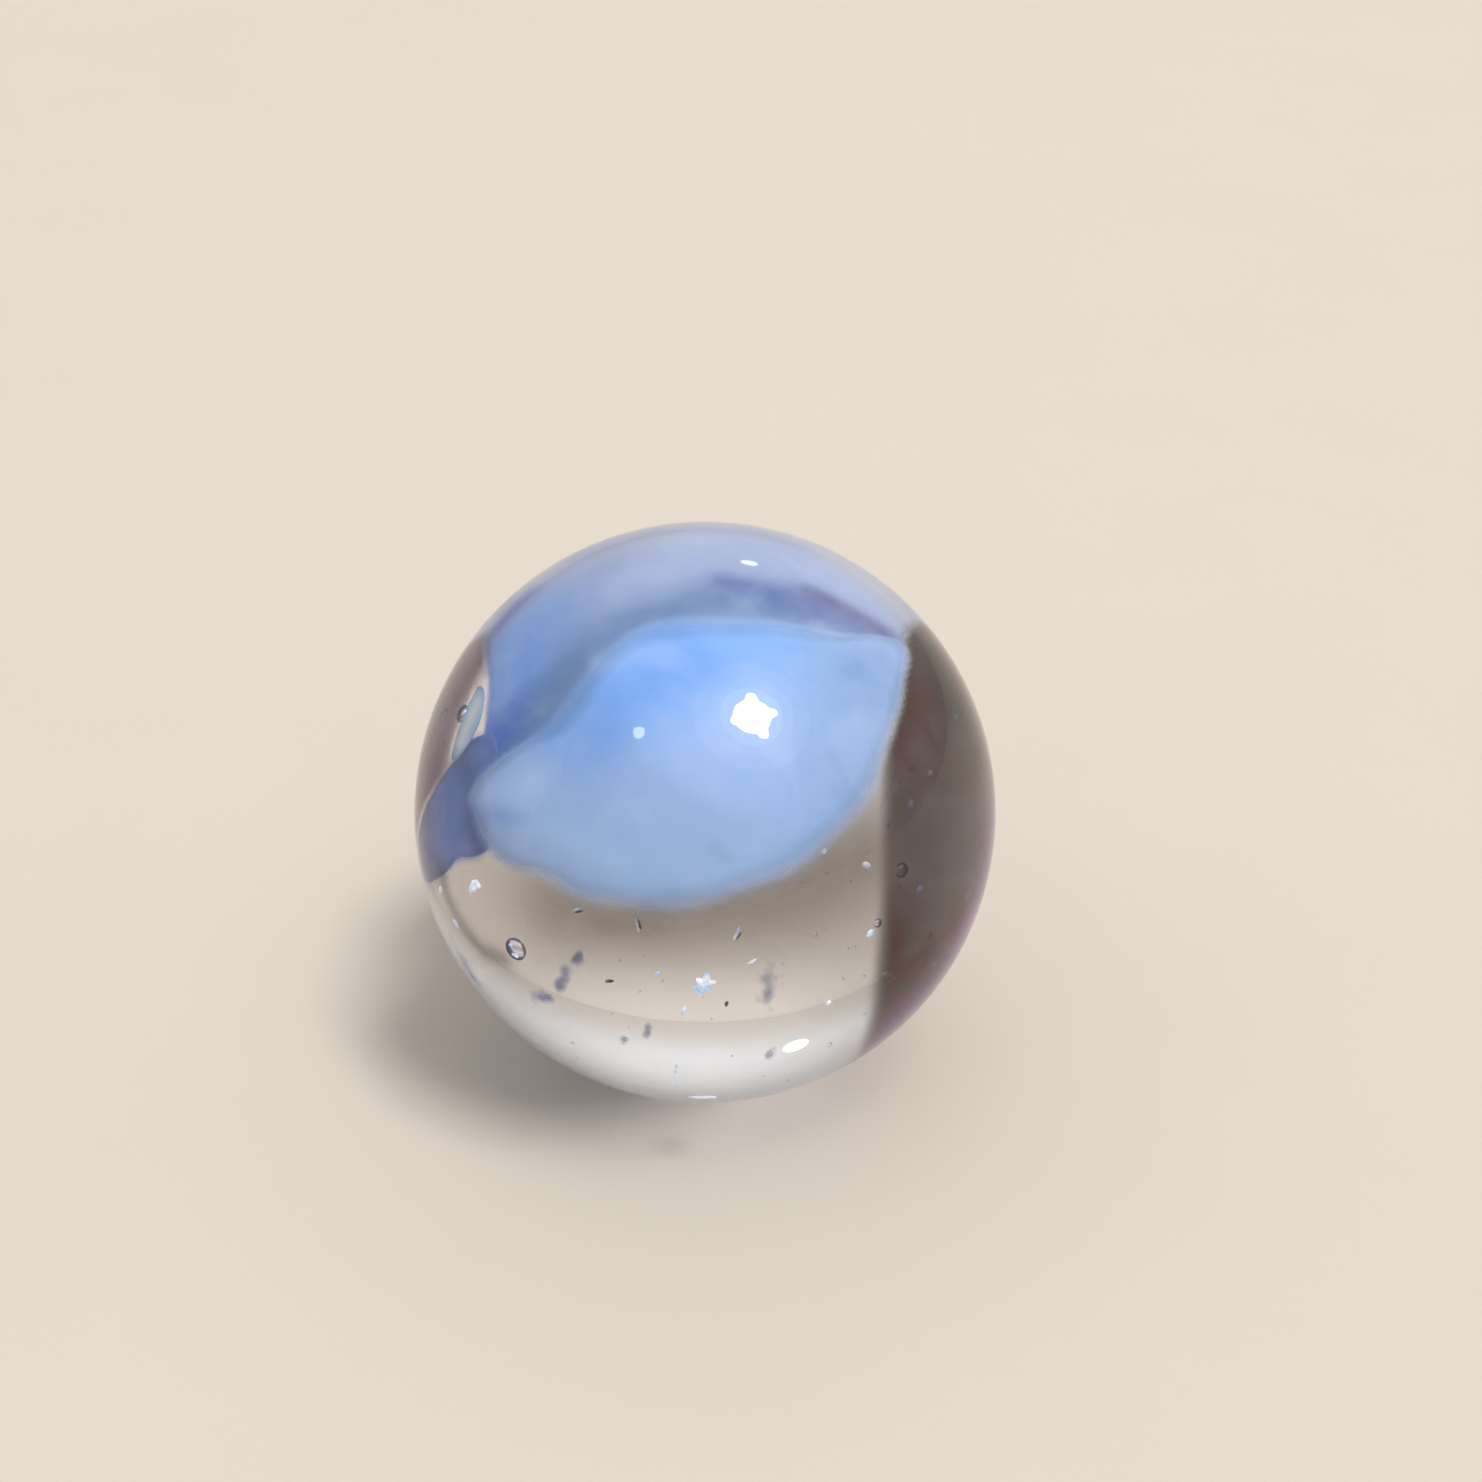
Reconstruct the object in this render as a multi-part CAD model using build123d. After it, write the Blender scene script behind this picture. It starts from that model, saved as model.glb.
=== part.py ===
from build123d import *
import os

# A playing marble: one solid ball of glass, made in one piece.
# Millimetres, +Z up. The origin is the centre of the ball.
# The coloured glass lies inside the clear glass with no gap or seam, so the ball is one solid.

# Driving dimensions
ball_diameter = 16.0   # across the ball, the 5/8 inch playing size

# Worked out from the above
ball_radius = ball_diameter / 2


def make_marble():
    """The whole ball, round all over, with its centre at the origin."""
    ball = Sphere(radius=ball_radius)
    ball.label = "marble"
    return ball


os.makedirs("parts", exist_ok=True)
export_step(make_marble(), "parts/marble.step")
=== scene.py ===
import math
import random

import bmesh
import bpy
from mathutils import Matrix, Vector, noise


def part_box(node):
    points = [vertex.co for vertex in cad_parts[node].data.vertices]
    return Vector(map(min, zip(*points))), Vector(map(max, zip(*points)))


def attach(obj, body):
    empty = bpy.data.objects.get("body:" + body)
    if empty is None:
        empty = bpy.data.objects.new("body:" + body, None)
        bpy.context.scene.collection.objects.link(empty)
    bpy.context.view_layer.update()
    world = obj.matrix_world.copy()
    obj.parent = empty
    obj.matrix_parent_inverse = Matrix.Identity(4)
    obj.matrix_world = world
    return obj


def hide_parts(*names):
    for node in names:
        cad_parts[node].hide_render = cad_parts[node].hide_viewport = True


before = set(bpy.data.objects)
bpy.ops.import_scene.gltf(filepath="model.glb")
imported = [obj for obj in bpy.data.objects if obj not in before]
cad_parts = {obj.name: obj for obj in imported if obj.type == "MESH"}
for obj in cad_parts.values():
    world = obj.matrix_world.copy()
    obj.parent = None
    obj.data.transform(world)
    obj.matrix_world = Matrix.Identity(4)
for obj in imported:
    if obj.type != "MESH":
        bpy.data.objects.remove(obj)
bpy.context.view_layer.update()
print("frame loaded")

ballLow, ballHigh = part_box("marble")
ballCentre = (ballLow + ballHigh) / 2
ballRadius = (ballHigh.z - ballLow.z) / 2

# The blue face of the marble looks out at the viewer and up by this much.
faceLift = math.radians(32)
faceOut = Vector((0, -math.cos(faceLift), math.sin(faceLift)))
faceRight = Vector((1, 0, 0))
faceUp = faceOut.cross(faceRight)


def onFace(across, rise):
    # a place on the face, right and up of its middle in shares of the radius, as a direction
    out = math.sqrt(max(0.0, 1 - across * across - rise * rise))
    return (faceRight * across + faceUp * rise + faceOut * out).normalized()


def aimed(turn, lift):
    # a direction by its turn to the right of the front and its lift above level, in degrees
    turn, lift = math.radians(turn), math.radians(lift)
    return Vector((math.sin(turn) * math.cos(lift), -math.cos(turn) * math.cos(lift), math.sin(lift)))


def tone(red, green, blue):
    # a display colour, 0 to 255, as linear light
    light = []
    for value in (red / 255, green / 255, blue / 255):
        light.append(value / 12.92 if value <= 0.04045 else ((value + 0.055) / 1.055) ** 2.4)
    return Vector(light)


def softStep(value, low, high):
    share = min(1.0, max(0.0, (value - low) / (high - low)))
    return share * share * (3 - 2 * share)


# Painting colour into the glass.

paint = {
    "grain": 3.0,        # how fast the strokes' paths wander round the ball
    "faint": 0.01,       # weaker than this, a stroke needn't be worked out further
    "edge": (-1, 2),     # a stroke that keeps off a gob fades in over these degrees past its outline
}


def arcDistance(point, start, end):
    # degrees from a point to the arc between two directions
    axis = start.cross(end)
    if axis.length > 1e-6:
        axis.normalize()
        onArc = point - axis * point.dot(axis)
        if start.cross(onArc).dot(axis) >= 0 and onArc.cross(end).dot(axis) >= 0:
            return math.degrees(math.asin(min(1.0, abs(point.dot(axis)))))
    nearest = max(point.dot(start), point.dot(end))
    return math.degrees(math.acos(max(-1.0, min(1.0, nearest))))


def pastOutline(gob, direction):
    # degrees by which a direction lies outside a gob's outline, less than nought inside it
    middle = gob["middle"]
    side = (faceRight - middle * faceRight.dot(middle)).normalized()
    above = middle.cross(side)
    bearing = math.degrees(math.atan2(direction.dot(above), direction.dot(side)))
    away = math.degrees(math.acos(max(-1.0, min(1.0, direction.dot(middle)))))
    return away - outlineReach(gob["outline"], bearing)


def paintGlass(piece, baseTone, strokes, wander=0.02):
    # lays soft strokes of colour over the base colour, as an attribute that the glass reads
    mesh = piece.data
    layer = mesh.attributes.new("glassTone", "FLOAT_COLOR", "POINT")
    colours = []
    for vert in mesh.vertices:
        point = (vert.co - ballCentre).normalized()
        drift = noise.noise_vector(point * paint["grain"]) * wander
        point = (point + drift).normalized()
        colour = baseTone.copy()
        for stroke in strokes:
            path = stroke["path"]
            ends = path[1:] or path
            near = min(arcDistance(point, a, b) for a, b in zip(path, ends))
            weight = math.exp(-((near / stroke["width"]) ** stroke.get("edge", 2)))
            if "within" in stroke and weight > paint["faint"]:
                cap = stroke["within"]
                away = math.degrees(point.angle(cap["middle"]))
                weight *= math.exp(-((away / cap["width"]) ** cap["edge"]))
            for gob in stroke.get("keepOff", ()):
                if weight > paint["faint"]:
                    past = pastOutline(gob, point) + stroke.get("creep", 0)
                    weight *= softStep(past, *paint["edge"])
            colour = colour.lerp(stroke["tone"], stroke["strength"] * weight)
        colours.extend((colour.x, colour.y, colour.z, 1.0))
    layer.data.foreach_set("color", colours)


# Shapes of hot glass pressed into the ball.

def outlineReach(outline, bearing):
    # how far the outline reaches at a bearing, smooth through its points, both in degrees
    count = len(outline)
    bearing = bearing % 360
    after = 0
    while after < count and outline[after][0] <= bearing:
        after += 1
    places = []
    for step in (-2, -1, 0, 1):
        lap, index = divmod(after + step, count)
        places.append((outline[index][0] + 360 * lap, outline[index][1]))
    (b0, r0), (b1, r1), (b2, r2), (b3, r3) = places
    span = b2 - b1
    share = (bearing - b1) / span
    slopeIn = (r2 - r0) / (b2 - b0) * span
    slopeOut = (r3 - r1) / (b3 - b1) * span
    square, cube = share ** 2, share ** 3
    return ((2 * cube - 3 * square + 1) * r1 + (cube - 2 * square + share) * slopeIn
            + (3 * square - 2 * cube) * r2 + (cube - square) * slopeOut)


def outlineRound(middle, places):
    # an outline through places on the face, as bearing and reach about a middle, both in degrees
    side = (faceRight - middle * faceRight.dot(middle)).normalized()
    above = middle.cross(side)
    outline = []
    for across, rise in places:
        direction = onFace(across, rise)
        bearing = math.degrees(math.atan2(direction.dot(above), direction.dot(side))) % 360
        outline.append((bearing, math.degrees(middle.angle(direction))))
    return sorted(outline)


def finishPiece(name, bm, material, smooth=True):
    bmesh.ops.recalc_face_normals(bm, faces=bm.faces)
    mesh = bpy.data.meshes.new(name)
    bm.to_mesh(mesh)
    bm.free()
    for face in mesh.polygons:
        face.use_smooth = smooth
    piece = bpy.data.objects.new(name, mesh)
    bpy.context.scene.collection.objects.link(piece)
    piece.data.materials.append(material)
    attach(piece, "root")
    return piece


def pressGob(name, gob, material):
    # a gob of glass pressed flat along the inside of the ball: a round blob, spread to its outline
    bm = bmesh.new()
    bmesh.ops.create_uvsphere(bm, u_segments=gob["around"], v_segments=gob["rings"], radius=1)
    middle = gob["middle"]
    side = (faceRight - middle * faceRight.dot(middle)).normalized()
    above = middle.cross(side)
    fade = bm.verts.layers.float.new("fade")
    for vert in bm.verts:
        tilt = math.atan2(math.hypot(vert.co.x, vert.co.y), vert.co.z)
        bearing = math.atan2(vert.co.y, vert.co.x)
        outward = tilt <= math.pi / 2 + 1e-6      # the half of the blob that faces out of the ball
        share = min(1.0, math.sin(tilt))
        spread = outlineReach(gob["outline"], math.degrees(bearing)) + gob.get("extra", 0)
        # how far in from the rim, as a share of the reach there, or of one reach all round
        vert[fade] = (1 - share) * spread / gob.get("fadeReach", spread)
        reach = math.radians(spread * share)
        flat = side * math.cos(bearing) + above * math.sin(bearing)
        direction = middle * math.cos(reach) + flat * math.sin(reach)
        swell = math.sqrt(max(0.0, 1 - share ** gob["edge"]))
        depth = gob["depth"] + gob["wave"] * noise.noise(direction * gob["waveGrain"])
        lift = 0.0 if outward else -gob["thick"] * swell
        vert.co = ballCentre + direction * (depth * ballRadius + lift)
    return finishPiece(name, bm, material)


haze = {
    "thick": 0.00001,
    "edge": 2,
    "start": 0.19, "end": 1.12,      # where the fade starts and ends, as shares of a haze's own full
    "milk": 0.2, "deep": 0.1,
    "roughness": 0.6,
}


def hazeOver(gob, rise, reach, **more):
    # a very thin sheet a little above a gob, reaching past it by this many degrees
    return dict(gob, depth=gob["depth"] + rise, extra=reach, thick=haze["thick"], edge=haze["edge"], **more)


# Finishes.

def addNode(tree, kind, **settings):
    node = tree.nodes.new(kind)
    for key, value in settings.items():
        setattr(node, key, value)
    return node


def mixTones(tree, factor, first, second):
    mix = addNode(tree, "ShaderNodeMix", data_type="RGBA")
    for socket, value in ((mix.inputs[0], factor), (mix.inputs[6], first), (mix.inputs[7], second)):
        if isinstance(value, bpy.types.NodeSocket):
            tree.links.new(value, socket)
        elif isinstance(value, Vector):
            socket.default_value = (*value, 1)
        else:
            socket.default_value = value
    return mix.outputs[2]


def cloudMask(tree, coordinates, scale, low, high, detail=3.0, distortion=0.0, stretch=(1, 1, 1)):
    # soft patches: nought below low, one above high
    mapping = addNode(tree, "ShaderNodeMapping")
    mapping.inputs["Scale"].default_value = stretch
    cloud = addNode(tree, "ShaderNodeTexNoise")
    cloud.inputs["Scale"].default_value = scale
    cloud.inputs["Detail"].default_value = detail
    cloud.inputs["Distortion"].default_value = distortion
    span = addNode(tree, "ShaderNodeMapRange", interpolation_type="SMOOTHSTEP")
    span.inputs["From Min"].default_value = low
    span.inputs["From Max"].default_value = high
    tree.links.new(coordinates, mapping.inputs["Vector"])
    tree.links.new(mapping.outputs["Vector"], cloud.inputs["Vector"])
    tree.links.new(cloud.outputs["Fac"], span.inputs["Value"])
    return span.outputs["Result"]


def scaled(tree, value, factor, offset=0.0):
    maths = addNode(tree, "ShaderNodeMath", operation="MULTIPLY_ADD")
    tree.links.new(value, maths.inputs[0])
    maths.inputs[1].default_value = factor
    maths.inputs[2].default_value = offset
    return maths.outputs[0]


def newFinish(name):
    material = bpy.data.materials.new(name)
    material.use_nodes = True
    tree = material.node_tree
    return material, tree, tree.nodes["Principled BSDF"]


def objectCoordinates(tree):
    return addNode(tree, "ShaderNodeTexCoord").outputs["Object"]


def paintedTone(tree):
    return addNode(tree, "ShaderNodeAttribute", attribute_name="glassTone").outputs["Color"]


def letLampsThrough(tree, surface, tint):
    # lamps shine through, and everything else sees the surface
    lightPath = addNode(tree, "ShaderNodeLightPath")
    through = addNode(tree, "ShaderNodeBsdfTransparent")
    through.inputs["Color"].default_value = tint
    mix = addNode(tree, "ShaderNodeMixShader")
    tree.links.new(lightPath.outputs["Is Shadow Ray"], mix.inputs["Fac"])
    tree.links.new(surface, mix.inputs[1])
    tree.links.new(through.outputs["BSDF"], mix.inputs[2])
    tree.links.new(mix.outputs["Shader"], tree.nodes["Material Output"].inputs["Surface"])


opalLook = {   # cloud scales are patches per metre
    "milkTone": tone(206, 222, 246), "milkScale": 330, "milkSpan": (0.5, 0.72), "milkTwist": 1.2,
    "deepTone": tone(120, 168, 232), "deepScale": 231, "deepSpan": (0.52, 0.75),
    "deepStretch": (1, 1.7, 1.2),
    "fineTone": tone(235, 240, 250), "fineScale": 1500, "fineSpan": (0.35, 0.75), "fineShare": 0.06,
    "roughness": 0.4, "fineRoughness": 0.2,
    "softLight": 0.2, "softReach": (0.8, 1.0, 1.4), "softDepth": 0.0004,      # light under the skin
}


def opalTone(tree, milk, deep):
    look = opalLook
    coordinates = objectCoordinates(tree)
    milkMask = cloudMask(tree, coordinates, look["milkScale"], *look["milkSpan"],
                         distortion=look["milkTwist"])
    deepMask = cloudMask(tree, coordinates, look["deepScale"], *look["deepSpan"],
                         stretch=look["deepStretch"])
    fineMask = cloudMask(tree, coordinates, look["fineScale"], *look["fineSpan"])
    body = mixTones(tree, scaled(tree, milkMask, milk), paintedTone(tree), look["milkTone"])
    body = mixTones(tree, scaled(tree, deepMask, deep), body, look["deepTone"])
    return mixTones(tree, scaled(tree, fineMask, look["fineShare"]), body, look["fineTone"]), fineMask


def opalFinish(name, milk, deep):
    look = opalLook
    material, tree, shader = newFinish(name)
    body, fineMask = opalTone(tree, milk, deep)
    tree.links.new(body, shader.inputs["Base Color"])
    roughness = scaled(tree, fineMask, look["fineRoughness"], look["roughness"])
    tree.links.new(roughness, shader.inputs["Roughness"])
    shader.inputs["Specular IOR Level"].default_value = 0.0
    shader.inputs["Subsurface Weight"].default_value = look["softLight"]
    shader.inputs["Subsurface Radius"].default_value = look["softReach"]
    shader.inputs["Subsurface Scale"].default_value = look["softDepth"]
    return material


def hazeFinish(name, full, ragged, solid=1.0, grain=900):
    # thin opal glass that fades out, raggedly, towards its rim: most solid where the fade passes full
    material, tree, shader = newFinish(name)
    body = opalTone(tree, haze["milk"], haze["deep"])[0]
    tree.links.new(body, shader.inputs["Base Color"])
    shader.inputs["Roughness"].default_value = haze["roughness"]
    shader.inputs["Specular IOR Level"].default_value = 0.0
    fade = addNode(tree, "ShaderNodeAttribute", attribute_name="fade").outputs["Fac"]
    patchy = cloudMask(tree, objectCoordinates(tree), grain, 0.3, 0.7)
    uneven = addNode(tree, "ShaderNodeMath", operation="SUBTRACT")
    tree.links.new(fade, uneven.inputs[0])
    tree.links.new(scaled(tree, patchy, ragged), uneven.inputs[1])
    span = addNode(tree, "ShaderNodeMapRange", interpolation_type="SMOOTHSTEP")
    span.inputs["From Min"].default_value = full * haze["start"]      # the very rim stays clear
    span.inputs["From Max"].default_value = full * haze["end"]
    span.inputs["To Max"].default_value = solid
    tree.links.new(uneven.outputs[0], span.inputs["Value"])
    tree.links.new(span.outputs["Result"], shader.inputs["Alpha"])
    return material


clearLook = {
    "index": 1.52,
    "hazeScale": 240, "hazeSpan": (0.45, 0.8), "hazeShare": 0.05, "hazeTone": tone(225, 220, 235),
    "scuffScale": 2600, "scuffSpan": (0.62, 0.8), "scuffRoughness": 0.05,
    "rippleScale": 420, "rippleStrength": 0.25, "rippleDepth": 0.00004,
    "lampTint": (0.95, 0.95, 0.97, 1),
}


def clearFinish():
    look = clearLook
    material, tree, shader = newFinish("clear glass")
    coordinates = objectCoordinates(tree)
    cloud = cloudMask(tree, coordinates, look["hazeScale"], *look["hazeSpan"])
    body = mixTones(tree, scaled(tree, cloud, look["hazeShare"]), paintedTone(tree), look["hazeTone"])
    tree.links.new(body, shader.inputs["Base Color"])
    shader.inputs["Transmission Weight"].default_value = 1.0
    shader.inputs["IOR"].default_value = look["index"]
    scuffs = cloudMask(tree, coordinates, look["scuffScale"], *look["scuffSpan"], detail=5)
    tree.links.new(scaled(tree, scuffs, look["scuffRoughness"]), shader.inputs["Roughness"])
    ripple = cloudMask(tree, coordinates, look["rippleScale"], 0.0, 1.0, detail=2)
    bump = addNode(tree, "ShaderNodeBump")
    bump.inputs["Strength"].default_value = look["rippleStrength"]
    bump.inputs["Distance"].default_value = look["rippleDepth"]
    tree.links.new(ripple, bump.inputs["Height"])
    tree.links.new(bump.outputs["Normal"], shader.inputs["Normal"])
    letLampsThrough(tree, shader.outputs["BSDF"], look["lampTint"])
    return material


# The gobs' outlines: bearing and reach in degrees about the middle.

blueLeaf = {
    "middle": aimed(-5, 40),
    "outline": [(10, 41), (25, 50), (34, 57), (42, 44), (53, 37), (77, 30), (106, 29), (130, 27), (150, 26),
                (164, 29), (182, 45), (190, 45), (200, 43), (213, 35), (231, 31), (252, 27), (270, 26),
                (294, 25), (319, 28), (337, 31), (354, 36)],
    "depth": 0.985, "thick": 0.00018, "edge": 6, "wave": 0.003, "waveGrain": 2.0, "extra": -3.8,
    "around": 160, "rings": 80,
}

leafHaze = hazeOver(blueLeaf, 0.0038, 4.2, full=0.26, fadeReach=30)

paleCrown = {
    "middle": aimed(180, 75),
    "outline": [(0, 49), (11, 56), (37, 68), (60, 76), (90, 80), (121, 74), (143, 70), (166, 64), (180, 55),
                (190, 50), (207, 55), (214, 62), (218, 70), (226, 76), (236, 74), (253, 68), (269, 62),
                (292, 60), (308, 57), (323, 51), (335, 47), (348, 46)],
    "depth": 0.945, "thick": 0.0008, "edge": 6, "wave": 0.012, "waveGrain": 2.4, "extra": -2.5,
    "around": 200, "rings": 100,
}

crownHaze = hazeOver(paleCrown, 0.0038, 2.5, full=0.08)

# the blue fold at the left rim, where the crown runs down behind the leaf's end
leftFold = {
    "gob": {"middle": onFace(-0.83, 0.03),
            "outline": outlineRound(onFace(-0.83, 0.03), [
                (-0.68, 0.1), (-0.68, 0.27), (-0.75, 0.27), (-0.845, 0.17), (-0.915, 0.08), (-0.965, -0.02),
                (-0.98, -0.14), (-0.96, -0.23), (-0.9, -0.235), (-0.82, -0.17), (-0.7, -0.13),
                (-0.66, 0.0)]),
            "depth": 0.962, "thick": 0.0006, "edge": 5, "wave": 0.0, "waveGrain": 1.0,
            "around": 96, "rings": 48},
    "soft": 1.4, "full": 0.3,
    "tone": tone(92, 128, 200),
    "strokes": [
        {"path": [onFace(-0.87, -0.12), onFace(-0.82, -0.13)], "width": 6, "tone": tone(120, 152, 222),
         "strength": 0.8},
        {"path": [onFace(-0.95, -0.02), onFace(-0.94, -0.16)], "width": 6, "tone": tone(66, 70, 160),
         "strength": 0.9},
        {"path": [onFace(-0.8, 0.2), onFace(-0.76, 0.1)], "width": 5, "tone": tone(78, 104, 152),
         "strength": 0.8},
        {"path": [onFace(-0.76, 0.02), onFace(-0.76, -0.08)], "width": 3, "tone": tone(66, 92, 160),
         "strength": 0.8}],
}

paleSlit = {
    "gob": {"middle": onFace(-0.783, 0.31),
            "outline": outlineRound(onFace(-0.783, 0.31), [
                (-0.748, 0.43), (-0.727, 0.36), (-0.755, 0.27), (-0.8, 0.2), (-0.842, 0.165), (-0.832, 0.24),
                (-0.81, 0.3), (-0.775, 0.38)]),
            "depth": 0.965, "thick": 0.0002, "edge": 4, "wave": 0.0, "waveGrain": 1.0,
            "around": 64, "rings": 24},
    "soft": 0.4, "full": 0.2,
    "tone": tone(160, 190, 222),
    "strokes": [{"path": [onFace(-0.757, 0.36), onFace(-0.81, 0.23)], "width": 2,
                 "tone": tone(226, 232, 232), "strength": 0.9}],
}

# The clear ball.

clearBall = {
    "subdivisions": 7,
    "clearTone": tone(250, 250, 252),
    "smokeAndShadeTone": tone(56, 26, 24),       # the right side's brown: partly the glass's own smoky tint, partly painted shade for the shadowed floor seen through it
    # its near-black core, smoky tint and painted shade both
    "deepSmokeAndShade": tone(25, 1, 0),
    "violetTone": tone(84, 20, 116),     # along the low right rim
    "plumTone": tone(38, 3, 44),         # the strip at the left rim
    "smudgeAndShadeTone": tone(112, 100, 94),      # painted shade under the leaf and low on the back, and a small grey smudge
    # near-black, for dark streaks and marks in the glass
    "nearBlackTone": tone(5, 5, 6),
}


def makeClearBall():
    look = clearBall
    bm = bmesh.new()
    bmesh.ops.create_icosphere(bm, subdivisions=look["subdivisions"], radius=ballRadius,
                               matrix=Matrix.Translation(ballCentre))
    ball = finishPiece("clear_ball", bm, clearFinish())
    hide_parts("marble")
    apart = (blueLeaf, paleCrown)
    # the cap where the right side is tinted: smoky glass with painted shade in it
    smokeAndShadeCap = {"middle": aimed(96, -3), "width": 62.5, "edge": 60}
    paintGlass(ball, look["clearTone"], [
        # painted shade: the leaf's shadow, as grey in the clear glass under it
        {"path": [onFace(-0.45, -0.3), onFace(-0.1, -0.34), onFace(0.25, -0.26), onFace(0.5, -0.16)],
         "width": 13, "tone": look["smudgeAndShadeTone"], "strength": 0.85, "keepOff": apart, "creep": 0.8},
        # painted shade: darker low on the back, for the shadowed floor behind the ball seen through it
        {"path": [aimed(-158, -34), aimed(180, -36), aimed(158, -36)], "width": 9, "edge": 4,
         "tone": look["smudgeAndShadeTone"], "strength": 0.75},
        # smoky tint with painted shade over the right side
        {"path": [smokeAndShadeCap["middle"]], "width": smokeAndShadeCap["width"], "edge": smokeAndShadeCap["edge"],
         "tone": look["smokeAndShadeTone"], "strength": 1.0, "keepOff": apart, "creep": 0.8},
        # a darker core of the same smoky tint and painted shade
        {"path": [onFace(0.66, 0.35), onFace(0.74, 0.0), onFace(0.68, -0.4), onFace(0.6, -0.6)], "width": 26,
         "edge": 6, "tone": look["deepSmokeAndShade"], "strength": 1.0, "keepOff": apart, "creep": 0.8,
         "within": smokeAndShadeCap},
        {"path": [onFace(0.99, -0.1), onFace(0.86, -0.5), onFace(0.62, -0.77)], "width": 10,
         "tone": look["violetTone"], "strength": 0.85},
        {"path": [onFace(0.74, 0.54), onFace(0.79, 0.42), onFace(0.83, 0.34)], "width": 5.5,
         "tone": look["nearBlackTone"], "strength": 1.0, "keepOff": apart},
        {"path": [onFace(0.707, -0.549), onFace(0.633, -0.601)], "width": 1.6, "tone": look["nearBlackTone"],
         "strength": 0.8},
        {"path": [onFace(0.766, -0.305), onFace(0.697, -0.39)], "width": 2.2, "tone": look["nearBlackTone"],
         "strength": 0.6},
        {"path": [onFace(-0.74, 0.58), onFace(-0.8, 0.5), onFace(-0.88, 0.33), onFace(-0.934, 0.1),
                  onFace(-0.945, -0.04)],
         "width": 12.5, "edge": 8, "tone": look["plumTone"], "strength": 1.0,
         "keepOff": apart + (paleSlit["gob"], leftFold["gob"]), "creep": 2.5},
        # a small grey smudge near the leaf's lower edge
        {"path": [onFace(-0.33, -0.355), onFace(-0.15, -0.365)], "width": 2.5, "tone": look["smudgeAndShadeTone"],
         "strength": 0.5, "keepOff": apart},
        {"path": [onFace(-0.87, -0.2), onFace(-0.855, -0.271), onFace(-0.811, -0.356), onFace(-0.73, -0.449),
                  onFace(-0.666, -0.472)],
         "width": 2.6, "tone": look["nearBlackTone"], "strength": 0.8},
    ], wander=0.008)


makeClearBall()
print("clear ball made")

# The blue leaf on the face.

leafTone = tone(166, 194, 232)

leafStrokes = [
    {"path": [onFace(-0.3, 0.42), onFace(-0.1, 0.58), onFace(0.25, 0.58)], "width": 11,
     "tone": tone(136, 184, 240), "strength": 0.85},
    # painted shade: the leaf's right side, which faces the key lamp, darkened so it is no brighter than the
    # rest
    {"path": [onFace(0.55, 0.4), onFace(0.55, 0.1)], "width": 18, "tone": tone(134, 164, 202),
     "strength": 0.75},
    {"path": [onFace(-0.5, 0.25), onFace(-0.36, 0.26), onFace(-0.2, 0.38), onFace(-0.05, 0.46)], "width": 8,
     "tone": tone(116, 168, 230), "strength": 0.75},
    {"path": [onFace(-0.75, 0.05), onFace(-0.62, 0.06), onFace(-0.55, 0.1)], "width": 3,
     "tone": tone(182, 208, 244), "strength": 0.7},
    {"path": [onFace(-0.62, -0.02), onFace(-0.4, -0.1), onFace(-0.25, -0.2)], "width": 3,
     "tone": tone(178, 206, 242), "strength": 0.6},
    {"path": [onFace(-0.75, -0.01), onFace(-0.58, -0.02)], "width": 1.8, "tone": tone(132, 168, 222),
     "strength": 0.6},
    {"path": [onFace(0.05, -0.15), onFace(0.02, -0.12)], "width": 1.5, "tone": tone(122, 158, 202),
     "strength": 0.6},
    {"path": [onFace(0.5, 0.47), onFace(0.47, 0.45)], "width": 1.6, "tone": tone(116, 154, 200),
     "strength": 0.6},
    {"path": [onFace(-0.5, -0.18), onFace(-0.2, -0.24), onFace(0.1, -0.16)], "width": 7,
     "tone": tone(172, 200, 232), "strength": 0.6},
    {"path": [onFace(-0.68, -0.14), onFace(-0.5, -0.25), onFace(-0.24, -0.34), onFace(0.05, -0.3)],
     "width": 3, "tone": tone(144, 174, 212), "strength": 0.6},
    {"path": [onFace(-0.78, -0.02), onFace(-0.74, -0.11)], "width": 2.2, "tone": tone(84, 116, 190),
     "strength": 0.85},
]


def makeBlueLeaf():
    leaf = pressGob("blue_leaf", blueLeaf, opalFinish("sky blue opal glass", milk=0.25, deep=0.15))
    thinGlass = hazeFinish("thin blue glass", leafHaze["full"], ragged=0.02)
    thin = pressGob("leaf_haze", leafHaze, thinGlass)
    for piece in (leaf, thin):
        paintGlass(piece, leafTone, leafStrokes)


makeBlueLeaf()
print("blue leaf made")

# The pale crown over the top and down the back.

crownTone = tone(166, 180, 212)

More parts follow.
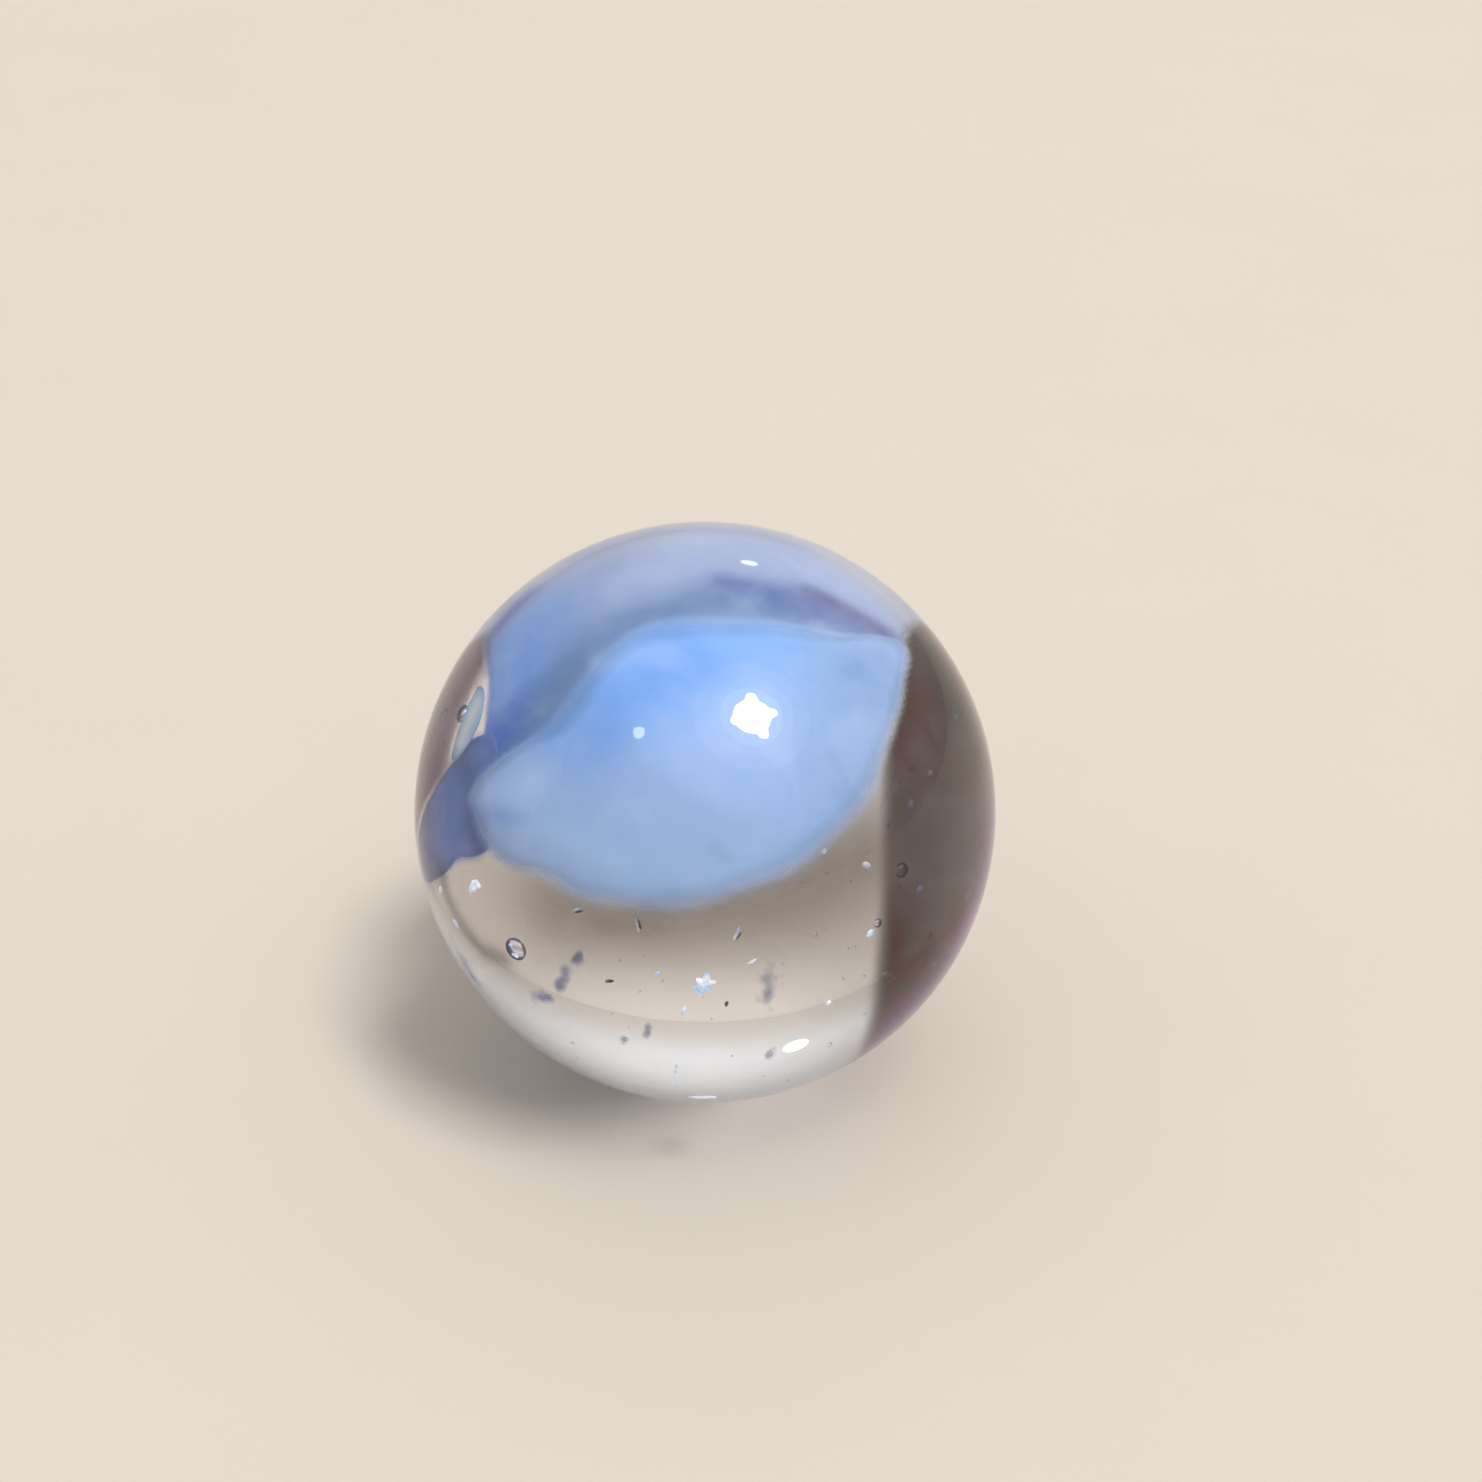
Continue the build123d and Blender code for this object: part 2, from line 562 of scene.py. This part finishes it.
crownStrokes = [
    {"path": [onFace(-0.62, 0.6), onFace(-0.55, 0.35)], "width": 14, "tone": tone(108, 162, 230),
     "strength": 0.85},
    # painted shade, with deep-blue streaks in it: these three strokes darken the grey-blue band along the
    # leaf's top edge, where the crown runs deeper in the leaf's shadow
    {"path": [onFace(-0.7, 0.14), onFace(-0.5, 0.36), onFace(-0.27, 0.6), onFace(0, 0.71),
              onFace(0.3, 0.68)],
     "width": 6.5, "tone": tone(104, 134, 176), "strength": 0.9},
    {"path": [onFace(0.05, 0.77), onFace(0.31, 0.69), onFace(0.5, 0.62)], "width": 3.5,
     "tone": tone(86, 112, 170), "strength": 0.8},
    {"path": [onFace(0.36, 0.72), onFace(0.6, 0.6)], "width": 3, "tone": tone(98, 102, 152),
     "strength": 0.9},
    {"path": [onFace(-0.73, 0.22), onFace(-0.66, 0.3)], "width": 6, "tone": tone(44, 100, 196),
     "strength": 0.95},
    {"path": [aimed(-120, 62), aimed(-165, 48), aimed(150, 42)], "width": 5, "tone": tone(126, 158, 214),
     "strength": 0.7},
    {"path": [aimed(-130, 40), aimed(-170, 28), aimed(160, 22)], "width": 6, "tone": tone(190, 202, 226),
     "strength": 0.7},
    {"path": [aimed(-110, 46), aimed(-140, 28), aimed(-165, 12)], "width": 4, "tone": tone(96, 126, 190),
     "strength": 0.75},
    {"path": [aimed(110, 58), aimed(150, 60), aimed(-170, 70)], "width": 5, "tone": tone(178, 190, 220),
     "strength": 0.7},
    {"path": [aimed(125, 30), aimed(150, 26), aimed(175, 34)], "width": 3, "tone": tone(112, 132, 188),
     "strength": 0.6},
    {"path": [onFace(-0.76, 0.4), onFace(-0.74, 0.58), onFace(-0.6, 0.74)], "width": 3.5,
     "tone": tone(66, 98, 184), "strength": 0.85},
    # paler along the top rim: the crown's own pale lavender with painted reflection of the room
    {"path": [onFace(-0.58, 0.78), onFace(-0.3, 0.89), onFace(0, 0.93)], "width": 5,
     "tone": tone(178, 188, 216), "strength": 0.6},
    # the same at the right rim: pale lavender with painted reflection
    {"path": [onFace(0.45, 0.85), onFace(0.7, 0.62)], "width": 5, "tone": tone(188, 194, 206),
     "strength": 0.8},
]


def makePaleCrown():
    crown = pressGob("pale_crown", paleCrown, opalFinish("pale lavender opal glass", milk=0.2, deep=0.12))
    thinGlass = hazeFinish("thin lavender glass", crownHaze["full"], ragged=0.01)
    thin = pressGob("crown_haze", crownHaze, thinGlass)
    for piece in (crown, thin):
        paintGlass(piece, crownTone, crownStrokes, wander=0.05)


makePaleCrown()
print("pale crown made")

# Folds at the left rim, and wisps: small drawn-out gobs.

def smearGob(start, end, width, depth, thick, ragged):
    # an oval gob drawn out from one place on the face to another
    start, end = onFace(*start), onFace(*end)
    middle = (start + end).normalized()
    side = (faceRight - middle * faceRight.dot(middle)).normalized()
    lean = math.atan2(end.dot(middle.cross(side)), end.dot(side))
    long = math.degrees(start.angle(end)) / 2 + width
    outline = []
    for bearing in range(0, 360, 15):
        turned = math.radians(bearing) - lean
        reach = long * width / math.hypot(width * math.cos(turned), long * math.sin(turned))
        rough = noise.noise(Vector((math.cos(turned), math.sin(turned), long)) * 1.7 + middle * 40)
        outline.append((bearing, reach * (1 + ragged * rough)))
    return {"middle": middle, "outline": outline, "depth": depth, "thick": thick, "edge": 2, "wave": 0.0,
            "waveGrain": 1.0, "around": 48, "rings": 16}


wispLook = {
    "widen": 1.35,       # allows for the faded rim
    "thick": 0.00012, "ragged": 0.2,
    "full": 0.75, "solid": 0.6, "grain": 2400, "raggedFade": 0.45,
}

wisps = [
    {"start": (-0.39, -0.44), "end": (-0.44, -0.50), "width": 1.5, "depth": 0.97,
     "tone": tone(66, 84, 150)},
    {"start": (-0.45, -0.50), "end": (-0.50, -0.60), "width": 2.0, "depth": 0.965,
     "tone": tone(104, 122, 186)},
    {"start": (-0.51, -0.60), "end": (-0.57, -0.63), "width": 2.4, "depth": 0.96,
     "tone": tone(112, 130, 196)},
    {"start": (0.21, -0.50), "end": (0.20, -0.66), "width": 3.0, "depth": 0.94,
     "tone": tone(140, 142, 172)},
    {"start": (0.22, -0.79), "end": (0.20, -0.83), "width": 1.5, "depth": 0.95,
     "tone": tone(196, 200, 218)},
    {"start": (-0.27, -0.74), "end": (-0.28, -0.77), "width": 1.2, "depth": 0.96,
     "tone": tone(170, 184, 222)},
    {"start": (-0.19, -0.68), "end": (-0.205, -0.76), "width": 1.1, "depth": 0.96,
     "tone": tone(180, 184, 200)},
    {"start": (-0.86, -0.41), "end": (-0.74, -0.62), "width": 3.0, "depth": 0.975,
     "tone": tone(124, 152, 216)},
]


def makeSmears():
    for name, fold in (("left_fold", leftFold), ("pale_slit", paleSlit)):
        words = name.replace("_", " ")
        body = dict(fold["gob"], extra=-fold["soft"])
        sheet = hazeOver(fold["gob"], 0.003, fold["soft"])
        thick = pressGob(name, body, opalFinish(f"{words} glass", milk=0.1, deep=0.1))
        thinGlass = hazeFinish(f"thin {words} glass", fold["full"], ragged=0.02)
        thin = pressGob(f"{name}_haze", sheet, thinGlass)
        for piece in (thick, thin):
            paintGlass(piece, fold["tone"], fold["strokes"])
    look = wispLook
    finish = hazeFinish("blue wisp glass", look["full"], look["raggedFade"], look["solid"], look["grain"])
    for number, wisp in enumerate(wisps, start=1):
        width = wisp["width"] * look["widen"]
        gob = smearGob(wisp["start"], wisp["end"], width, wisp["depth"], look["thick"], look["ragged"])
        piece = pressGob(f"blue_wisp_{number}", gob, finish)
        paintGlass(piece, wisp["tone"], [])


makeSmears()
print("folds and wisps made")

# Air bubbles and bright flakes.

bubbles = {
    "big": [   # across, rise, radius in metres, depth as a share of the ball's radius
        (-0.63, -0.45, 0.00032, 0.955), (-0.878, 0.328, 0.00022, 0.97), (-0.805, 0.331, 0.00024, 0.97),
        (0.65, -0.20, 0.00020, 0.94), (0.562, -0.37, 0.00012, 0.96), (0.741, -0.417, 0.00013, 0.96),
        (0.757, -0.467, 0.00014, 0.96),
    ],
    "smallCount": 150, "smallLow": 0.00002, "smallHigh": 0.00006,
    "deepest": 0.45, "shallowest": 0.965,     # where small ones lie, as shares of the ball's radius
    "clearance": 3,                           # degrees from the opal gobs
    "index": 0.86,                            # air within glass
    "cloudScale": 2000, "cloudTones": (tone(252, 252, 255), tone(238, 242, 252)),
    "seed": 7,
}

flakes = {
    "places": [   # across, rise, length and width in metres, lean in degrees
        (-0.01, -0.56, 0.00085, 0.00020, 70), (-0.01, -0.56, 0.00060, 0.00018, 130),
        (-0.01, -0.56, 0.00070, 0.00016, 20), (-0.765, -0.241, 0.00060, 0.00022, 50),
        (-0.75, -0.235, 0.00030, 0.00016, -20), (0.60, -0.546, 0.00056, 0.00017, -45),
        (0.615, -0.56, 0.00026, 0.00013, 20), (0.74, 0.12, 0.00020, 0.00016, 0),
        (0.67, 0.02, 0.00022, 0.00016, 60), (0.702, -0.261, 0.00022, 0.00018, 0),
        (0.535, -0.40, 0.00022, 0.00018, 30), (0.519, -0.177, 0.00026, 0.00016, -30),
        (0.38, -0.13, 0.00016, 0.00012, 20), (0.84, 0.31, 0.00020, 0.00012, 60),
        (0.875, -0.299, 0.00024, 0.00014, 80), (-0.837, -0.367, 0.00026, 0.00016, -20),
        (-0.89, -0.255, 0.00030, 0.00014, 60), (-0.016, -0.965, 0.00080, 0.00026, 0),
        (-0.221, -0.365, 0.00042, 0.00008, 100), (0.096, -0.393, 0.00042, 0.00007, 70),
        (0.148, -0.484, 0.00030, 0.00007, 30), (-0.161, -0.525, 0.00024, 0.00009, 60),
        (-0.077, -0.646, 0.00030, 0.00009, 75), (-0.42, -0.313, 0.00026, 0.00007, 30),
        (-0.104, -0.853, 0.00055, 0.00009, 85), (-0.11, -0.9, 0.00020, 0.00012, 60),
        (0.765, -0.518, 0.00016, 0.00012, 60), (0.398, -0.63, 0.00016, 0.00012, 60),
        (-0.63, -0.472, 0.00026, 0.00013, 0), (-0.645, -0.432, 0.00016, 0.00008, 30),
        (-0.80, 0.335, 0.00030, 0.00010, 10), (-0.885, 0.315, 0.00022, 0.00012, 30),
    ],
    "darkPlaces": [
        (-0.315, -0.548, 0.00026, 0.00009, 20), (0.064, -0.625, 0.00018, 0.00009, 80),
        (-0.215, -0.36, 0.00030, 0.00007, 110), (0.105, -0.40, 0.00026, 0.00005, 60),
        (-0.41, -0.32, 0.00024, 0.00006, 20),
    ],
    "depth": 0.968,
    "jolt": 0.16,        # how far a corner is knocked about, as a share of the width
    "cloudScale": 5200,
    "brightTones": (tone(252, 253, 255), tone(190, 214, 250)), "brightGlint": 0.45,
    "dullTones": (tone(84, 84, 92), tone(120, 122, 134)), "dullGlint": 0.02,
    "seed": 11,
}


def bubbleFinish():
    material, tree, shader = newFinish("air bubble")
    tree.nodes.remove(shader)
    skin = addNode(tree, "ShaderNodeBsdfGlass")
    skin.inputs["IOR"].default_value = bubbles["index"]
    skin.inputs["Roughness"].default_value = 0.0
    cloud = cloudMask(tree, objectCoordinates(tree), bubbles["cloudScale"], 0.3, 0.7)
    tree.links.new(mixTones(tree, cloud, *bubbles["cloudTones"]), skin.inputs["Color"])
    letLampsThrough(tree, skin.outputs["BSDF"], (1, 1, 1, 1))
    return material


def flakeFinish(name, tones, glint):
    material, tree, shader = newFinish(name)
    cloud = cloudMask(tree, objectCoordinates(tree), flakes["cloudScale"], 0.35, 0.65)
    body = mixTones(tree, cloud, *tones)
    tree.links.new(body, shader.inputs["Base Color"])
    tree.links.new(body, shader.inputs["Emission Color"])
    shader.inputs["Emission Strength"].default_value = glint      # painted glow: the flake gives off light of its own, like a glint
    tree.links.new(scaled(tree, cloud, 0.3, 0.2), shader.inputs["Roughness"])
    return material


def makeBubbles():
    draw = random.Random(bubbles["seed"])
    bm = bmesh.new()
    for across, rise, radius, depth in bubbles["big"]:
        place = Matrix.Translation(ballCentre + onFace(across, rise) * depth * ballRadius)
        bmesh.ops.create_icosphere(bm, subdivisions=4, radius=radius, matrix=place)
    made = 0
    while made < bubbles["smallCount"]:
        direction = Vector((draw.gauss(0, 1), draw.gauss(0, 1), draw.gauss(0, 1))).normalized()
        depth = draw.uniform(bubbles["deepest"], bubbles["shallowest"])
        radius = draw.uniform(bubbles["smallLow"], bubbles["smallHigh"]) * draw.uniform(0.4, 1)
        if min(pastOutline(gob, direction) for gob in (blueLeaf, paleCrown)) > bubbles["clearance"]:
            place = Matrix.Translation(ballCentre + direction * depth * ballRadius)
            bmesh.ops.create_icosphere(bm, subdivisions=2, radius=radius, matrix=place)
            made += 1
    finishPiece("air_bubbles", bm, bubbleFinish())


def makeFlakes(name, places, draw, material):
    bm = bmesh.new()
    for across, rise, long, wide, lean in places:
        direction = onFace(across, rise)
        side = (faceRight - direction * faceRight.dot(direction)).normalized()
        facing = Matrix((side, direction.cross(side), direction)).transposed().to_4x4()
        place = (Matrix.Translation(ballCentre + direction * flakes["depth"] * ballRadius) @ facing
                 @ Matrix.Rotation(math.radians(lean), 4, "Z")
                 @ Matrix.Diagonal((long / 2, wide / 2, wide / 2, 1)))
        made = bmesh.ops.create_icosphere(bm, subdivisions=2, radius=1, matrix=place)
        for vert in made["verts"]:
            jolt = Vector((draw.uniform(-1, 1), draw.uniform(-1, 1), draw.uniform(-1, 1)))
            vert.co += jolt * wide * flakes["jolt"]
    finishPiece(name, bm, material, smooth=False)


makeBubbles()
flakeDraw = random.Random(flakes["seed"])
makeFlakes("bright_flakes", flakes["places"], flakeDraw,
           flakeFinish("bright flake", flakes["brightTones"], flakes["brightGlint"]))
makeFlakes("dark_flakes", flakes["darkPlaces"], flakeDraw,
           flakeFinish("dull flake", flakes["dullTones"], flakes["dullGlint"]))
print("bubbles and flakes made")

# Floor, world, lamps and camera.

studio = {
    "floorSize": 2.0, "floorGap": 0.00002,      # half its width, and the hair's breadth under the ball
    "floorTone": tone(226, 214, 200), "grainTone": tone(214, 200, 184),
    "grainScale": 120, "grainShare": 0.06, "floorRoughness": 0.6,
    "skyTone": tone(250, 249, 247),
    "hazeTone": tone(220, 209, 197), "hazeTop": 0.22,   # the floor's colour carried up from the horizon
    "skyLight": 0.5,
    "lampDistance": 2.0,
}

lamps = [   # where from, how wide as a share of its distance, brightness, colour, seen through glass
    {"name": "key_lamp", "aim": aimed(41.4, 63.9), "width": 0.235, "glow": 28},
    {"name": "key_lobe_right", "aim": aimed(53, 69.5), "width": 0.075, "glow": 25},
    {"name": "key_lobe_low", "aim": aimed(41, 56.5), "width": 0.07, "glow": 23},
    {"name": "key_lobe_left", "aim": aimed(27, 65), "width": 0.07, "glow": 23},
    {"name": "key_lobe_side", "aim": aimed(56, 60.5), "width": 0.06, "glow": 23},
    {"name": "key_halo_near", "aim": aimed(41.4, 63.9), "width": 0.40, "glow": 2.0},
    {"name": "key_halo_mid", "aim": aimed(41.4, 63.9), "width": 0.56, "glow": 0.9},
    {"name": "key_halo_far", "aim": aimed(41.4, 63.9), "width": 0.78, "glow": 0.45},
    {"name": "left_lamp", "aim": aimed(-45.4, 55.5), "width": 0.07, "glow": 8},
    {"name": "back_lamp", "aim": aimed(168.9, 31.2), "width": 0.06, "glow": 5},
    {"name": "warm_lamp", "aim": aimed(-165.4, 10.6), "width": 0.075, "glow": 1.25,
     "colour": (1.0, 0.93, 0.75), "through": True},
]

view = {
    "distance": 0.080, "lens": 70.25, "sensor": 36, "nearest": 0.001,
    "aimRight": 0.001, "aimUp": 0.00194,      # the aim passes this far from the ball's middle
}


def makeFloor():
    bm = bmesh.new()
    bmesh.ops.create_grid(bm, x_segments=2, y_segments=2, size=studio["floorSize"],
                          matrix=Matrix.Translation((0, 0, ballLow.z - studio["floorGap"])))
    mesh = bpy.data.meshes.new("floor")
    bm.to_mesh(mesh)
    bm.free()
    floor = bpy.data.objects.new("floor", mesh)
    bpy.context.scene.collection.objects.link(floor)
    material, tree, shader = newFinish("floor")
    grain = cloudMask(tree, objectCoordinates(tree), studio["grainScale"], 0.3, 0.7)
    grainShare = scaled(tree, grain, studio["grainShare"])
    tree.links.new(mixTones(tree, grainShare, studio["floorTone"], studio["grainTone"]),
                   shader.inputs["Base Color"])
    shader.inputs["Roughness"].default_value = studio["floorRoughness"]
    floor.data.materials.append(material)


def makeSky():
    world = bpy.data.worlds.new("sky")
    bpy.context.scene.world = world
    world.use_nodes = True
    tree = world.node_tree
    light = tree.nodes["Background"]
    light.inputs["Color"].default_value = (1, 1, 1, 1)
    light.inputs["Strength"].default_value = studio["skyLight"]
    seen = addNode(tree, "ShaderNodeBackground")
    seen.inputs["Strength"].default_value = 1.0
    height = addNode(tree, "ShaderNodeSeparateXYZ")
    tree.links.new(addNode(tree, "ShaderNodeTexCoord").outputs["Generated"], height.inputs["Vector"])
    rise = addNode(tree, "ShaderNodeMapRange", interpolation_type="SMOOTHSTEP")
    rise.inputs["From Max"].default_value = studio["hazeTop"]
    tree.links.new(height.outputs["Z"], rise.inputs["Value"])
    tree.links.new(mixTones(tree, rise.outputs["Result"], studio["hazeTone"], studio["skyTone"]),
                   seen.inputs["Color"])
    # the shaded sky is what the camera and clear surfaces see, until the light has bounced off a dull one
    path = addNode(tree, "ShaderNodeLightPath")
    straight = addNode(tree, "ShaderNodeMath", operation="LESS_THAN")
    tree.links.new(path.outputs["Diffuse Depth"], straight.inputs[0])
    straight.inputs[1].default_value = 0.5
    asBackground = path.outputs["Is Camera Ray"]
    for name in ("Is Glossy Ray", "Is Transmission Ray"):
        either = addNode(tree, "ShaderNodeMath", operation="MAXIMUM")
        tree.links.new(asBackground, either.inputs[0])
        tree.links.new(path.outputs[name], either.inputs[1])
        asBackground = either.outputs[0]
    both = addNode(tree, "ShaderNodeMath", operation="MULTIPLY")
    tree.links.new(asBackground, both.inputs[0])
    tree.links.new(straight.outputs[0], both.inputs[1])
    mix = addNode(tree, "ShaderNodeMixShader")
    tree.links.new(both.outputs[0], mix.inputs["Fac"])
    tree.links.new(light.outputs["Background"], mix.inputs[1])
    tree.links.new(seen.outputs["Background"], mix.inputs[2])
    tree.links.new(mix.outputs["Shader"], tree.nodes["World Output"].inputs["Surface"])


def makeLamp(lamp):
    light = bpy.data.lights.new(lamp["name"], "AREA")
    light.shape = "DISK"
    light.size = lamp["width"] * studio["lampDistance"]
    light.energy = lamp["glow"] * (math.pi * light.size / 2) ** 2
    light.color = lamp.get("colour", (1, 1, 1))
    stand = bpy.data.objects.new(lamp["name"], light)
    stand.location = ballCentre + lamp["aim"] * studio["lampDistance"]
    stand.rotation_euler = lamp["aim"].to_track_quat("Z", "Y").to_euler()
    bpy.context.scene.collection.objects.link(stand)
    stand.visible_transmission = lamp.get("through", False)      # seen through the glass, or else in it
    stand.visible_glossy = not lamp.get("through", False)
    stand.visible_camera = False


def makeCamera():
    data = bpy.data.cameras.new("camera")
    data.lens = view["lens"]
    data.sensor_width = view["sensor"]
    data.clip_start = view["nearest"]
    camera = bpy.data.objects.new("camera", data)
    camera.location = ballCentre + faceOut * view["distance"]
    aim = ballCentre + faceRight * view["aimRight"] + faceUp * view["aimUp"]
    camera.rotation_euler = (aim - camera.location).to_track_quat("-Z", "Y").to_euler()
    bpy.context.scene.collection.objects.link(camera)
    bpy.context.scene.camera = camera


makeFloor()
makeSky()
for lamp in lamps:
    makeLamp(lamp)
makeCamera()
bpy.context.scene.view_settings.view_transform = "Standard"
print("studio made")
